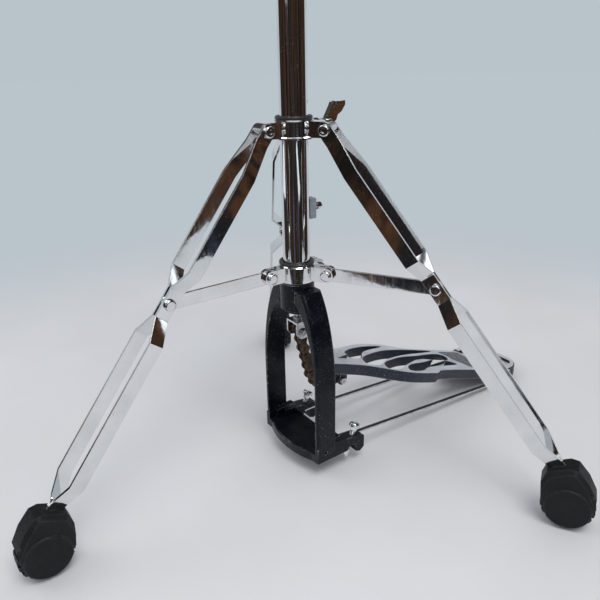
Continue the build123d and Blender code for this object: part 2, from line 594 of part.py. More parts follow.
# ---------------------------------------------------------------- chain and stirrup
def chain_points():
    """(a, z) of the chain's pins, from the stirrup to the anchor under the board."""
    straight = CHAIN_STRAIGHT * CHAIN_PITCH
    reach = sqrt(straight ** 2 + CHAIN_R ** 2)
    lean = asin(CAM_A / reach) - asin(CHAIN_R / reach)
    points = []
    for index in range(CHAIN_STRAIGHT + 1):
        distance = index * CHAIN_PITCH
        points.append((distance * sin(lean), CHAIN_TOP_Z - distance * cos(lean)))
    centre_z = CHAIN_TOP_Z - sqrt(reach ** 2 - CAM_A ** 2)
    step = 2 * asin(CHAIN_PITCH / 2 / CHAIN_R)
    for index in range(1, CHAIN_WRAPPED + 1):
        angle = pi + lean + index * step
        points.append((CAM_A + CHAIN_R * cos(angle), centre_z + CHAIN_R * sin(angle)))
    return points


def chain_plate(start, end, half_width, hole):
    """A waisted link plate sketched in (a, z)."""
    length = hypot(end[0] - start[0], end[1] - start[1])
    angle = degrees(atan2(end[1] - start[1], end[0] - start[0]))
    sketch = Circle(half_width) + Pos(length, 0) * Circle(half_width)
    sketch += Pos(length / 2, 0) * Rectangle(length, 1.3 * half_width)
    sketch -= Circle(hole) + Pos(length, 0) * Circle(hole)
    return Pos(*start) * Rot(0, 0, angle) * sketch


def link_plates(points, first, last, open_pin):
    """Inner plates on even links, outer plates on odd links."""
    plates = []
    for index in range(first, last):
        inner = index % 2 == 0
        low, high = (2.6, 4.0) if inner else (4.15, 5.55)
        hole = PIN_R + FIT
        sketch = chain_plate(points[index], points[index + 1], 5.8 if inner else 5.4, hole)
        for b_low, b_high in ((low, high), (-high, -low)):
            plate = side_slab(sketch, b_low, b_high)
            if open_pin == index + 1 and inner:
                centre = points[open_pin]
                plate -= bar(OPEN_PIN_R, pedal_point(centre[0], -9, centre[1]), pedal_point(centre[0], 9, centre[1]))
            plates.append(plate)
    return plates


OPEN_PIN_R = PIN_R + 0.9


def link_rollers(points, indices, open_pin):
    rollers = []
    for index in indices:
        a, z = points[index]
        bore = OPEN_PIN_R if index == open_pin else PIN_R + FIT
        roller = bar(4.0, pedal_point(a, -2.5, z), pedal_point(a, 2.5, z))
        rollers.append(roller - bar(bore, pedal_point(a, -3, z), pedal_point(a, 3, z)))
    return rollers


def link_pins(points, indices):
    pins = []
    for index in indices:
        a, z = points[index]
        pins.append(bar(PIN_R, pedal_point(a, -6.3, z), pedal_point(a, 6.3, z)))
    return pins


STIRRUP_TOP = 178.5
STIRRUP_HALF = 9.8


def stirrup():
    """The U-shaped yoke that hangs the chain from the pull rod."""
    cheek = Pos(0, CHAIN_TOP_Z) * Circle(8.2)
    cheek += Pos(0, (CHAIN_TOP_Z + STIRRUP_TOP) / 2) * Rectangle(16.4, STIRRUP_TOP - CHAIN_TOP_Z)
    body = both_sides(side_slab(cheek, STIRRUP_HALF - 2.0, STIRRUP_HALF))
    body += Pos(0, 0, STIRRUP_TOP - 1.1) * Box(2 * STIRRUP_HALF, 16.4, 2.2)
    body -= bar(ROD_R + FIT, (0, 0, 150), (0, 0, 200))
    return body - bar(PIN_R + FIT, (-20, 0, CHAIN_TOP_Z), (20, 0, CHAIN_TOP_Z))


def stirrup_nuts():
    nuts = []
    for low in (STIRRUP_TOP - 2.2 - 3.4, STIRRUP_TOP + 0.05):
        nut = Pos(0, 0, low) * extrude(RegularPolygon(5.6, 6), 3.3)
        nuts.append(nut - bar(ROD_R + FIT, (0, 0, low - 1), (0, 0, low + 6)))
    return nuts


def stirrup_screw():
    screw = bar(PIN_R, (-STIRRUP_HALF - 0.5, 0, CHAIN_TOP_Z), (STIRRUP_HALF + 3.4, 0, CHAIN_TOP_Z))
    screw += cap_head(4.4, 2.8, 0, (-STIRRUP_HALF - 0.05, 0, CHAIN_TOP_Z), (-1, 0, 0))
    screw -= Pos(-STIRRUP_HALF - 2.6, 0, CHAIN_TOP_Z) * Rot(30, 0, 0) * Box(1.6, 1.2, 12)
    nut = Plane(origin=(STIRRUP_HALF + 0.05, 0, CHAIN_TOP_Z), z_dir=(1, 0, 0))
    return screw + nut * extrude(RegularPolygon(4.2, 6), 2.8)


def chain_anchor_bolt():
    a, z = chain_points()[-1]
    bolt = bar(PIN_R, pedal_point(a, -9.8, z), pedal_point(a, 12.5, z))
    bolt += cap_head(4.6, 3.0, 2.0, pedal_point(a, -9.65, z), (-1, 0, 0))
    nut = Plane(origin=pedal_point(a, 9.65, z), z_dir=(1, 0, 0))
    return bolt + nut * extrude(RegularPolygon(4.4, 6), 2.8)


# ---------------------------------------------------------------- height clamp, seat and clutch
CLAMP_Z = 598.0
CLUTCH_Z = 925.0


def height_clamp():
    """The clamp at the top of the main tube, split on the player's side."""
    points = [(TUBE_R + FIT, CLAMP_Z - 20), (18.0, CLAMP_Z - 20), (19.5, CLAMP_Z - 18), (19.5, CLAMP_Z + 18),
              (18.0, CLAMP_Z + 20), (12.6 + FIT, CLAMP_Z + 20), (12.6 + FIT, TUBE_TOP + 0.2),
              (TUBE_R + FIT, TUBE_TOP + 0.2)]
    body = lathe(points)
    body += Pos(0, -24, CLAMP_Z) * Box(18, 16, 24)
    body -= Pos(0, 0, CLAMP_Z - 30) * Cylinder(12.6 + FIT, 80, align=BASE_ALIGN)
    body -= Pos(0, 0, CLAMP_Z - 30) * Cylinder(TUBE_R + FIT, TUBE_TOP + 0.2 - CLAMP_Z + 30, align=BASE_ALIGN)
    body -= Pos(0, -28, CLAMP_Z) * Box(2.0, 30, 60)
    return body - bar(4.0 + FIT, (-20, -26, CLAMP_Z), (20, -26, CLAMP_Z))


def clamp_bush():
    points = [(INNER_TUBE_R + FIT, CLAMP_Z - 16), (TUBE_R - TUBE_WALL - FIT, CLAMP_Z - 16),
              (TUBE_R - TUBE_WALL - FIT, TUBE_TOP + 0.1), (12.6, TUBE_TOP + 0.1), (12.6, CLAMP_Z + 20.1),
              (16.0, CLAMP_Z + 20.1), (16.0, CLAMP_Z + 22.0), (15.0, CLAMP_Z + 23.0),
              (INNER_TUBE_R + FIT, CLAMP_Z + 23.0)]
    return lathe(points)


def clamp_wing_screw():
    screw = wing_screw(4.0, -13.0, 9.6)
    return Pos(0, -26, CLAMP_Z) * screw


def upper_tube():
    return pipe(INNER_TUBE_R, INNER_TUBE_R - INNER_TUBE_WALL, INNER_TUBE_BOTTOM, INNER_TUBE_TOP)


def seat_holder():
    """The turned head pressed on the upper tube, with an ear for the seat and one for the tilter."""
    body = lathe([(ROD_R + 0.5, INNER_TUBE_TOP + 0.2), (INNER_TUBE_R + 2.5, INNER_TUBE_TOP + 0.2),
                  (INNER_TUBE_R + 2.5, INNER_TUBE_TOP + 4), (INNER_TUBE_R, INNER_TUBE_TOP + 6),
                  (ROD_R + 0.5, INNER_TUBE_TOP + 6)])
    sleeve = pipe(INNER_TUBE_R + 2.5, INNER_TUBE_R + FIT, INNER_TUBE_TOP - 14, INNER_TUBE_TOP + 0.3)
    pivot_ear = Pos(0, 19.0, SEAT_PIVOT_Z) * Box(9, 14, 12)
    tilter_ear = Pos(0, -(12 + TILTER_R) / 2 - 2, SEAT_PIVOT_Z - 4) * Box(9, TILTER_R - 4, 7)
    body += sleeve + pivot_ear + tilter_ear
    body -= bar(INNER_TUBE_R + FIT, (0, 0, INNER_TUBE_TOP - 40), (0, 0, INNER_TUBE_TOP))
    body -= bar(2.0 + FIT, (0, -TILTER_R, INNER_TUBE_TOP - 30), (0, -TILTER_R, INNER_TUBE_TOP + 30))
    return body - bar(2.5 + FIT, (-8, 20, SEAT_PIVOT_Z), (8, 20, SEAT_PIVOT_Z))


SEAT_PIVOT_Z = INNER_TUBE_TOP + 1
SEAT_BOTTOM = INNER_TUBE_TOP + 8.5
SPIGOT_R = 7.4
SPIGOT_BORE = 5.6
TILTER_R = 18.5


def seat_cup():
    """The saucer under the bottom cymbal, hinged on the holder's ear."""
    cup = lathe([(SPIGOT_BORE, SEAT_BOTTOM), (10, SEAT_BOTTOM), (20.5, SEAT_BOTTOM + 4.0),
                 (20.5, SEAT_BOTTOM + 6.0), (SPIGOT_R, SEAT_BOTTOM + 6.0),
                 (SPIGOT_R, SEAT_BOTTOM + 18.4), (SPIGOT_R - 0.6, SEAT_BOTTOM + 19), (SPIGOT_BORE, SEAT_BOTTOM + 19)])
    fork = Pos(0, 20, SEAT_BOTTOM - 3.5) * Box(16, 8, 15)
    fork -= Pos(0, 20, SEAT_BOTTOM - 5) * Box(9 + 2 * GAP, 12, 14)
    cup += fork
    return cup - bar(2.5 + FIT, (-20, 20, SEAT_PIVOT_Z), (20, 20, SEAT_PIVOT_Z))


def seat_pivot_screw():
    screw = bar(2.5, (-10.5, 20, SEAT_PIVOT_Z), (8.5, 20, SEAT_PIVOT_Z))
    return screw + cap_head(4.4, 3.0, 2.2, (8.1, 20, SEAT_PIVOT_Z), (1, 0, 0))


def tilter_screw():
    """The knurled screw that tips the seat."""
    screw = bar(2.0, (0, -TILTER_R, SEAT_PIVOT_Z - 14), (0, -TILTER_R, SEAT_BOTTOM + 2.2))
    knob = Pos(0, -TILTER_R, SEAT_PIVOT_Z - 16) * Cylinder(4.2, 6.0, align=BASE_ALIGN)
    return screw + chamfer(knob.edges(), 0.6)


def seat_felt():
    felt = pipe(18.0, SPIGOT_R + 0.3, SEAT_BOTTOM + 6.1, SEAT_BOTTOM + 14)
    return fillet(felt.faces().sort_by(Axis.Z)[-1].edges().sort_by(SortBy.LENGTH)[-1], 2.5)


def clutch_body():
    """The threaded sleeve of the clutch with its clamp head."""
    head = pipe(9.5, ROD_R + FIT, CLUTCH_Z + 8, CLUTCH_Z + 28)
    head = chamfer(head.faces().sort_by(Axis.Z)[-1].edges(), 0.8)
    sleeve = pipe(5.4, ROD_R + FIT, CLUTCH_Z - 26, CLUTCH_Z + 8)
    ear = Pos(0, -10, CLUTCH_Z + 18) * Cylinder(5.5, 8, rotation=(90, 0, 0))
    body = head + sleeve + (ear - bar(ROD_R + FIT, (0, 0, CLUTCH_Z), (0, 0, CLUTCH_Z + 40)))
    return body - bar(3.0 + FIT, (0, -1, CLUTCH_Z + 18), (0, -20, CLUTCH_Z + 18))


def clutch_wing_screw():
    screw = wing_screw(3.0, ROD_R + 0.1, 15.0)
    return Pos(0, 0, CLUTCH_Z + 18) * Rot(0, 0, -90) * screw


def clutch_nut(bottom, radius, height):
    nut = Pos(0, 0, bottom) * Cylinder(radius, height, align=BASE_ALIGN)
    nut = chamfer(nut.edges(), 0.8)
    for index in range(12):
        groove = Pos(radius + 0.6, 0, bottom - 1) * Cylinder(1.3, height + 2, align=BASE_ALIGN)
        nut -= Rot(0, 0, 30 * index) * groove
    return nut - bar(5.4 + FIT, (0, 0, bottom - 1), (0, 0, bottom + height + 1))


def clutch_felt(bottom, height):
    felt = pipe(15.0, 5.4 + 0.3, bottom, bottom + height)
    outer = felt.edges().filter_by(GeomType.CIRCLE).sort_by(SortBy.RADIUS)[-2:]
    return fillet(outer, 2.0)


# ---------------------------------------------------------------- the list of pieces
def all_nodes():
    points = chain_points()
    opened = CHAIN_STRAIGHT
    last = CHAIN_STRAIGHT + CHAIN_WRAPPED
    nodes = {
        "pedal_frame": pedal_frame(),
        "spur_bolt_left": spur_bolt(-1),
        "spur_bolt_right": spur_bolt(1),
        "main_tube": main_tube(),
        "tension_block": tension_block(),
        "tension_screw": tension_screw(),
        "spring_seat": spring_seat(),
        "spring": spring(),
        "lower_pull_rod": lower_pull_rod(),
        "rod_coupler": rod_coupler(),
        "upper_pull_rod": upper_pull_rod(),
        "stirrup": stirrup(),
        "stirrup_nuts": stirrup_nuts(),
        "stirrup_screw": stirrup_screw(),
        "chain_front_plates": link_plates(points, 0, opened, opened),
        "chain_front_rollers": link_rollers(points, range(0, opened + 1), opened),
        "chain_front_pins": link_pins(points, range(1, opened)),
        "chain_rear_plates": link_plates(points, opened, last, None),
        "chain_rear_rollers": link_rollers(points, range(opened + 1, last + 1), None),
        "chain_rear_pins": link_pins(points, range(opened, last)),
        "chain_anchor_bolt": chain_anchor_bolt(),
        "footboard": footboard(),
        "heel_plate": heel_plate(),
        "heel_pads": heel_pads(),
        "hinge_pin": hinge_pin(),
        "radius_rod_left": radius_rod(-1),
        "radius_rod_right": radius_rod(1),
        "upper_collar": upper_collar(),
        "upper_collar_bush": collar_bush(LEG_PIVOT_Z, 3.0, 18.4, 4.2),
        "tripod_wing_screw": tripod_wing_screw(),
        "lower_collar": lower_collar(),
        "lower_collar_bush": collar_bush(BRACE_Z, 2.8, 18.6, 0),
        "lower_collar_bolt": lower_collar_bolt(),
        "brace_rivets": [at_leg(brace_rivet(), azimuth) for azimuth in LEG_AZIMUTHS],
        "leg_top_rivets": [at_leg(leg_top_rivet(), azimuth) for azimuth in LEG_AZIMUTHS],
        "height_clamp": height_clamp(),
        "clamp_bush": clamp_bush(),
        "clamp_wing_screw": clamp_wing_screw(),
        "upper_tube": upper_tube(),
        "seat_holder": seat_holder(),
        "seat_cup": seat_cup(),
        "seat_pivot_screw": seat_pivot_screw(),
        "tilter_screw": tilter_screw(),
        "seat_felt": seat_felt(),
        "clutch_body": clutch_body(),
        "clutch_wing_screw": clutch_wing_screw(),
        "clutch_nuts": [clutch_nut(CLUTCH_Z + 0.6, 9.0, 6.5), clutch_nut(CLUTCH_Z - 26, 10.0, 7.5)],
        "clutch_felts": [clutch_felt(CLUTCH_Z - 18, 8.5), clutch_felt(CLUTCH_Z - 8.5, 8.5)],
    }
    for number, azimuth in enumerate(LEG_AZIMUTHS, start=1):
        nodes[f"leg_{number}_straps"] = [at_leg(strap, azimuth) for strap in leg_straps()]
        nodes[f"leg_{number}_foot"] = at_leg(foot(), azimuth)
        nodes[f"leg_{number}_brace"] = at_leg(brace(), azimuth)
        nodes[f"leg_{number}_knee_rivet"] = [at_leg(half, azimuth) for half in knee_rivet()]
    return nodes


def main():
    os.makedirs("parts", exist_ok=True)
    shift = Pos(0, TUBE_Y, 0)
    nodes = all_nodes()
    for name, shape in nodes.items():
        pieces = shape if isinstance(shape, list) else [shape]
        solids = [solid.moved(shift) for piece in pieces for solid in piece.solids()]
        export_step(Compound(children=solids) if len(solids) > 1 else solids[0], f"parts/{name}.step")
    print(len(nodes), "nodes")


main()
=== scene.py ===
"""The looks of a hi-hat stand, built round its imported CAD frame.  Metres, +Z up, floor at z = 0."""
import json
import math

import bmesh
import bpy
from mathutils import Matrix, Vector, noise

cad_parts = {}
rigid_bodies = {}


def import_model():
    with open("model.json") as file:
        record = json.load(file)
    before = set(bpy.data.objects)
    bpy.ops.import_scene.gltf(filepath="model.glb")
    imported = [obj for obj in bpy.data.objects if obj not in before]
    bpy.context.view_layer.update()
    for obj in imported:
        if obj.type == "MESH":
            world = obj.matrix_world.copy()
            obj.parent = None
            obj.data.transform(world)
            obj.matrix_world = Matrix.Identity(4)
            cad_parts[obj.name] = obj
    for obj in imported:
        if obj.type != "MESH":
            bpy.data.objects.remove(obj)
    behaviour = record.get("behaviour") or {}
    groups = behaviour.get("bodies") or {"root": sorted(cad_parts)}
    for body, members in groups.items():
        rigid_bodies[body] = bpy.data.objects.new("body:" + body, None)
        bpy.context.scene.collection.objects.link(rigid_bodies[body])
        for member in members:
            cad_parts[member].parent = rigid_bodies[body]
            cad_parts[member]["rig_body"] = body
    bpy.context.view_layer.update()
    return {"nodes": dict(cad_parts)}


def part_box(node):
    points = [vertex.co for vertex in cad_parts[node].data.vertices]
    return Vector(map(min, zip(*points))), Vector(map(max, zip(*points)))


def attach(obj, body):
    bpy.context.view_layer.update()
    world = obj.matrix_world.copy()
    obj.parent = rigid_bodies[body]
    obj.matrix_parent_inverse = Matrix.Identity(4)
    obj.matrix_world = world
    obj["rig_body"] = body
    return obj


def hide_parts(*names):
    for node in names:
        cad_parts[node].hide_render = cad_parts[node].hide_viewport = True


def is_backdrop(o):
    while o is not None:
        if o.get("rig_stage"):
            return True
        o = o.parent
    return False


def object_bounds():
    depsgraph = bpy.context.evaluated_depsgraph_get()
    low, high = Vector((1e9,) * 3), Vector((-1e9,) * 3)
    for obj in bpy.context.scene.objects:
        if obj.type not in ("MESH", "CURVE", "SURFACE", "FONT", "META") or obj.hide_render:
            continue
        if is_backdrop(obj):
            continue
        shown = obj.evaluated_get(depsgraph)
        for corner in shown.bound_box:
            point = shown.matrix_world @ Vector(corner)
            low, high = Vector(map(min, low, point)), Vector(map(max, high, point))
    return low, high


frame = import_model()
nodes = frame["nodes"]
MM = 0.001
AXIS_Y = 25 * MM                     # the upright tube's axis stands at x = 0, y = AXIS_Y

BOARD_ORIGIN = Vector((0, AXIS_Y - 19.5 * MM, 127 * MM))     # where the footboard's own length starts
BOARD_UP = (0.0, -0.327, 0.945)      # the way the footboard's top face looks
BOARD_NORMAL = Vector(BOARD_UP).normalized()
BOARD_ANGLE = math.atan2(0.327, 0.945)
ALONG_BOARD = Vector((0, -math.cos(BOARD_ANGLE), -math.sin(BOARD_ANGLE)))
HATCH_DEPTH = 1.6 * MM               # the grip panel lies this far below the board's top

SPUR_TILT = math.radians(20)
SPUR_AXIS = Vector((0, -math.sin(SPUR_TILT), math.cos(SPUR_TILT)))

VIEW_FORWARD = Vector((0.7500, -0.5399, -0.3820)).normalized()
VIEW_PLACE = Vector((-0.5037, 0.3842, 0.4564))
VIEW_ROLL = math.radians(-1.09)
VIEW_LENS, VIEW_SENSOR = 37.13, 36.0
TOWARDS_CAMERA = Vector((-VIEW_FORWARD.x, -VIEW_FORWARD.y, 0)).normalized()
SIDEWAYS = Vector((0, 0, 1)).cross(TOWARDS_CAMERA)

BACKDROP = (0.490, 0.552, 0.597)
PAPER_TOWARDS, PAPER_BEHIND, PAPER_SIDE = 0.50, 0.80, 0.74     # the paper that the chrome reflects
FLOOR_REACH = 9.0
RANGE_SOCKETS = ("Value", "From Min", "From Max", "To Min", "To Max")


# ---------------------------------------------------------------- materials
class Nodes:
    """A node tree, with short ways to add nodes to it."""

    def __init__(self, tree):
        self.tree = tree

    def add(self, kind, **settings):
        node = self.tree.nodes.new(kind)
        for key, value in settings.items():
            setattr(node, key, value)
        return node

    def put(self, value, socket):
        if isinstance(value, bpy.types.NodeSocket):
            self.tree.links.new(value, socket)
        elif isinstance(value, tuple) and len(value) == 3 and socket.type == "RGBA":
            socket.default_value = (*value, 1.0)
        else:
            socket.default_value = value

    def span(self, value, low, high, out_low=0.0, out_high=1.0):
        """value remapped from low..high to out_low..out_high, clamped."""
        node = self.add("ShaderNodeMapRange", clamp=True)
        for key, part in zip(RANGE_SOCKETS, (value, low, high, out_low, out_high)):
            self.put(part, node.inputs[key])
        return node.outputs["Result"]

    def math(self, operation, a, b=0.0):
        node = self.add("ShaderNodeMath", operation=operation)
        self.put(a, node.inputs[0])
        self.put(b, node.inputs[1])
        return node.outputs[0]

    def mix(self, share, a, b):
        """Colour a where share is 0, colour b where it is 1."""
        node = self.add("ShaderNodeMix", data_type="RGBA")
        self.put(share, node.inputs["Factor"])
        self.put(a, node.inputs[6])
        self.put(b, node.inputs[7])
        return node.outputs[2]

    def dot(self, vector, direction):
        node = self.add("ShaderNodeVectorMath", operation="DOT_PRODUCT")
        self.put(vector, node.inputs[0])
        self.put(direction, node.inputs[1])
        return node.outputs["Value"]


class Surface(Nodes):
    """A material with a principled shader, worked out from places on the part."""

    def __init__(self, name, **constants):
        self.material = bpy.data.materials.new(name)
        self.material.use_nodes = True
        super().__init__(self.material.node_tree)
        self.shader = self.tree.nodes["Principled BSDF"]
        places = self.add("ShaderNodeTexCoord")
        self.coords = places.outputs["Object"]
        self.normal = places.outputs["Normal"]
        for socket, value in constants.items():
            self.shader.inputs[socket.replace("_", " ")].default_value = value

    def stretched(self, scale):
        node = self.add("ShaderNodeMapping")
        self.put(self.coords, node.inputs["Vector"])
        node.inputs["Scale"].default_value = scale
        return node.outputs["Vector"]

    def noise(self, scale, detail=3.0, rough=0.55, stretch=None, distortion=0.0):
        node = self.add("ShaderNodeTexNoise")
        self.put(self.stretched(stretch) if stretch else self.coords, node.inputs["Vector"])
        node.inputs["Scale"].default_value = scale
        node.inputs["Detail"].default_value = detail
        node.inputs["Roughness"].default_value = rough
        node.inputs["Distortion"].default_value = distortion
        return node.outputs["Fac"]

    def facing(self, direction):
        """How far the surface faces a direction that is fixed to the part."""
        return self.dot(self.normal, direction)

    def edges(self, radius):
        """1 on convex edges and corners, 0 on flat faces."""
        bevel = self.add("ShaderNodeBevel", samples=6)
        bevel.inputs["Radius"].default_value = radius
        geometry = self.add("ShaderNodeNewGeometry")
        agreement = self.dot(bevel.outputs["Normal"], geometry.outputs["Normal"])
        return self.span(agreement, 0.995, 0.90)

    def bump(self, height, distance, strength=1.0):
        node = self.add("ShaderNodeBump")
        self.put(height, node.inputs["Height"])
        node.inputs["Distance"].default_value = distance
        node.inputs["Strength"].default_value = strength
        self.put(node.outputs["Normal"], self.shader.inputs["Normal"])

    def finish(self, color, roughness, metallic=None):
        self.put(color, self.shader.inputs["Base Color"])
        self.put(roughness, self.shader.inputs["Roughness"])
        if metallic is not None:
            self.put(metallic, self.shader.inputs["Metallic"])
        return self.material


def chrome_plate(name, tint, dull, pits):
    """Mirror chrome with a thin uneven film, fine wipe marks and a few rust pits."""
    s = Surface(name)
    film = s.span(s.noise(34, 4), 0.35, 0.75)
    wipes = s.span(s.noise(420, 2, stretch=(1.0, 1.0, 0.12)), 0.45, 0.8)
    rust = s.math("MULTIPLY", s.span(s.noise(900, 2), pits, pits + 0.05), s.span(s.noise(40, 2), 0.5, 0.62))
    color = s.mix(film, tint, tuple(c * 0.86 for c in tint))
    color = s.mix(rust, color, (0.16, 0.075, 0.03))
    rough = s.math("ADD", s.span(film, 0, 1, dull, dull + 0.05), s.math("MULTIPLY", wipes, 0.05))
    rough = s.math("ADD", rough, s.math("MULTIPLY", rust, 0.5))
    s.bump(s.noise(70, 2), 0.00012, 0.35)
    return s.finish(color, rough, s.span(rust, 0, 1, 1.0, 0.2))


def zinc_plate(name, tint, rough_low, rough_high):
    """Dull plated steel with fine grain and grey stains."""
    s = Surface(name)
    stain = s.span(s.noise(160, 5, 0.65), 0.4, 0.72)
    grain = s.noise(1500, 2)
    color = s.mix(stain, tint, tuple(c * 0.55 for c in tint))
    s.bump(grain, 0.00001, 0.5)
    return s.finish(color, s.span(stain, 0, 1, rough_low, rough_high), 1.0)


def black_paint(name):
    """Satin black paint on a casting: orange peel, dust on top, pale specks, a painted bluish highlight
    along the edges, bright chips on the edges.
    """
    s = Surface(name, Specular_IOR_Level=0.22, Coat_Weight=0.04, Coat_Roughness=0.12)
    edge = s.edges(0.0013)
    patches = s.noise(55, 5, 0.6)
    fine = s.noise(620, 4, 0.6)
    chips = s.math("MULTIPLY", edge, s.span(s.math("MULTIPLY", patches, fine), 0.27, 0.31))
    specks = s.math("MULTIPLY", s.span(s.noise(1100, 1.5), 0.700, 0.725), s.span(patches, 0.42, 0.55))
    upward = s.span(s.facing((0, 0, 1)), 0.7, 0.98)
    dust = s.math("MULTIPLY", upward, s.span(s.noise(90, 5, 0.65), 0.40, 0.75, 0.03, 0.30))
    color = s.mix(s.span(patches, 0.3, 0.7), (0.0012, 0.0022, 0.0050), (0.0026, 0.0044, 0.0090))
    color = s.mix(dust, color, (0.030, 0.026, 0.033))
    color = s.mix(specks, color, (0.42, 0.43, 0.45))
    # painted highlight: every convex edge is tinted lighter and bluer, whatever the light
    color = s.mix(s.math("MULTIPLY", edge, 0.3), color, (0.030, 0.038, 0.055))
    color = s.mix(chips, color, (0.50, 0.51, 0.53))
    rough = s.math("ADD", s.span(fine, 0.3, 0.7, 0.25, 0.32), s.math("MULTIPLY", dust, 0.3))
    s.bump(s.math("ADD", s.noise(420, 3), s.math("MULTIPLY", chips, -0.8)), 0.00018, 0.45)
    return s.finish(color, rough, s.math("MULTIPLY", chips, 0.9))


def board_paint(name, up):
    """Grey paint on the treads with pale scratches and pale worn edges; the sides and slot walls are
    painted near black as painted shade, with pale dust specks.
    """
    s = Surface(name, Specular_IOR_Level=0.4)
    edge = s.edges(0.0012)
    patches = s.noise(48, 6, 0.65)
    scratches = s.span(s.noise(700, 3, 0.6, stretch=(1.0, 0.06, 0.06)), 0.56, 0.66)
    fine = s.noise(900, 3, 0.7)
    # top: the faces that look along up keep the grey paint; all other faces get the painted shade below
    top = s.span(s.facing(up), 0.80, 0.95)
    tread = s.mix(s.span(patches, 0.30, 0.70), (0.50, 0.52, 0.55), (0.36, 0.385, 0.42))
    tread = s.mix(s.math("MULTIPLY", scratches, 0.5), tread, (0.62, 0.64, 0.66))
    # painted shade: the sides and slot walls are painted near black, as if in shadow
    side = s.mix(s.span(fine, 0.52, 0.75), (0.012, 0.017, 0.030), (0.055, 0.066, 0.090))
    dusty = s.span(s.noise(1000, 1.5), 0.66, 0.70)
    side = s.mix(s.math("MULTIPLY", dusty, s.span(patches, 0.40, 0.52)), side, (0.34, 0.36, 0.38))
    color = s.mix(top, side, tread)
    worn = s.math("MULTIPLY", edge, s.span(fine, 0.38, 0.58, 0.25, 1.0))
    color = s.mix(worn, color, (0.50, 0.52, 0.54))
    rough = s.span(patches, 0.3, 0.7, 0.36, 0.55)
    s.bump(s.math("ADD", s.noise(500, 3), s.math("MULTIPLY", scratches, -0.5)), 0.00025, 0.5)
    return s.finish(color, rough, s.math("MULTIPLY", worn, 0.5))


def rubber(name):
    """Matte black rubber, scuffed grey on its edges and in patches."""
    s = Surface(name, Specular_IOR_Level=0.28)
    edge = s.edges(0.0018)
    scuff = s.noise(260, 5, 0.7)
    cloud = s.noise(60, 4, 0.6)
    worn = s.math("MULTIPLY", edge, s.span(scuff, 0.42, 0.62, 0.1, 0.8))
    color = s.mix(s.span(cloud, 0.3, 0.7), (0.0035, 0.0038, 0.0046), (0.0075, 0.0079, 0.0090))
    color = s.mix(s.span(scuff, 0.60, 0.74, 0.0, 0.4), color, (0.035, 0.036, 0.038))
    color = s.mix(worn, color, (0.085, 0.086, 0.090))
    s.bump(s.math("ADD", s.noise(1300, 3), scuff), 0.00028, 0.5)
    return s.finish(color, s.span(scuff, 0.3, 0.7, 0.44, 0.66), 0.0)


def nylon(name, tint, rough):
    """Moulded plastic with a fine spark-eroded grain and scuffs."""
    s = Surface(name)
    edge = s.edges(0.0008)
    cloud = s.noise(120, 4, 0.6)
    grain = s.noise(2200, 2)
    pale = tuple(min(1.0, c * 1.7 + 0.02) for c in tint)
    color = s.mix(s.span(cloud, 0.35, 0.7, 0.0, 0.45), tint, pale)
    color = s.mix(s.math("MULTIPLY", edge, s.span(cloud, 0.3, 0.6, 0.2, 0.7)), color, pale)
    s.bump(grain, 0.00008, 0.7)
    return s.finish(color, s.span(cloud, 0.3, 0.7, rough, rough + 0.18), 0.0)


def rusty_chain(name):
    """Chain steel with brown surface rust, greasy dark patches and rubbed bright edges."""
    s = Surface(name)
    edge = s.edges(0.0006)
    patches = s.noise(230, 5, 0.65)
    fine = s.noise(1500, 4, 0.7)
    rust = s.span(patches, 0.38, 0.58)
    color = s.mix(s.span(fine, 0.3, 0.7), (0.070, 0.044, 0.030), (0.165, 0.100, 0.066))
    color = s.mix(s.span(s.noise(120, 3), 0.5, 0.7), color, (0.035, 0.026, 0.021))
    color = s.mix(s.math("MULTIPLY", edge, s.span(fine, 0.4, 0.6)), color, (0.42, 0.36, 0.30))
    s.bump(fine, 0.00016, 0.8)
    return s.finish(color, s.span(rust, 0, 1, 0.36, 0.72), s.span(rust, 0, 1, 0.85, 0.45))


def wool_felt(name):
    """Pressed wool felt: short tangled fibres and a soft edge."""
    s = Surface(name, Sheen_Weight=0.6, Sheen_Roughness=0.55)
    fibres = s.noise(1900, 6, 0.75, distortion=1.6)
    tufts = s.noise(260, 4, 0.6)
    color = s.mix(s.span(fibres, 0.32, 0.68), (0.030, 0.030, 0.032), (0.105, 0.104, 0.108))
    color = s.mix(s.span(tufts, 0.52, 0.75, 0.0, 0.4), color, (0.16, 0.158, 0.160))
    s.bump(s.math("ADD", fibres, tufts), 0.0007, 0.9)
    return s.finish(color, s.span(fibres, 0.3, 0.7, 0.85, 1.0), 0.0)


chrome = chrome_plate("chrome_plate", (0.81, 0.82, 0.825), 0.03, 0.69)
chrome_dull = chrome_plate("chrome_on_casting", (0.78, 0.79, 0.80), 0.045, 0.67)
zinc = zinc_plate("zinc_plate", (0.72, 0.73, 0.74), 0.24, 0.46)
bright_steel = zinc_plate("bright_steel", (0.78, 0.79, 0.81), 0.10, 0.24)
frame_paint = black_paint("frame_paint")
board = board_paint("board_paint", BOARD_UP)
heel = board_paint("heel_paint", (0.0, 0.0, 1.0))
boot = rubber("foot_rubber")
black_nylon = nylon("black_nylon", (0.016, 0.017, 0.019), 0.30)
grey_plastic = nylon("grey_plastic", (0.20, 0.22, 0.25), 0.36)
chain_steel = rusty_chain("chain_steel")
felt = wool_felt("wool_felt")


# ---------------------------------------------------------------- pieces that follow the CAD shape
def linked(name, data):
    """A new object in the scene."""
    piece = bpy.data.objects.new(name, data)
    bpy.context.scene.collection.objects.link(piece)
    return piece


def shape(name, verts, faces, material, smooth=False):
    """A new mesh made from corners and faces."""
    mesh = bpy.data.meshes.new(name)
    mesh.from_pydata(verts, [], faces)
    mesh.polygons.foreach_set("use_smooth", [smooth] * len(mesh.polygons))
    mesh.materials.append(material)
    return mesh


def body_of(node):
    return nodes[node]["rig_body"]


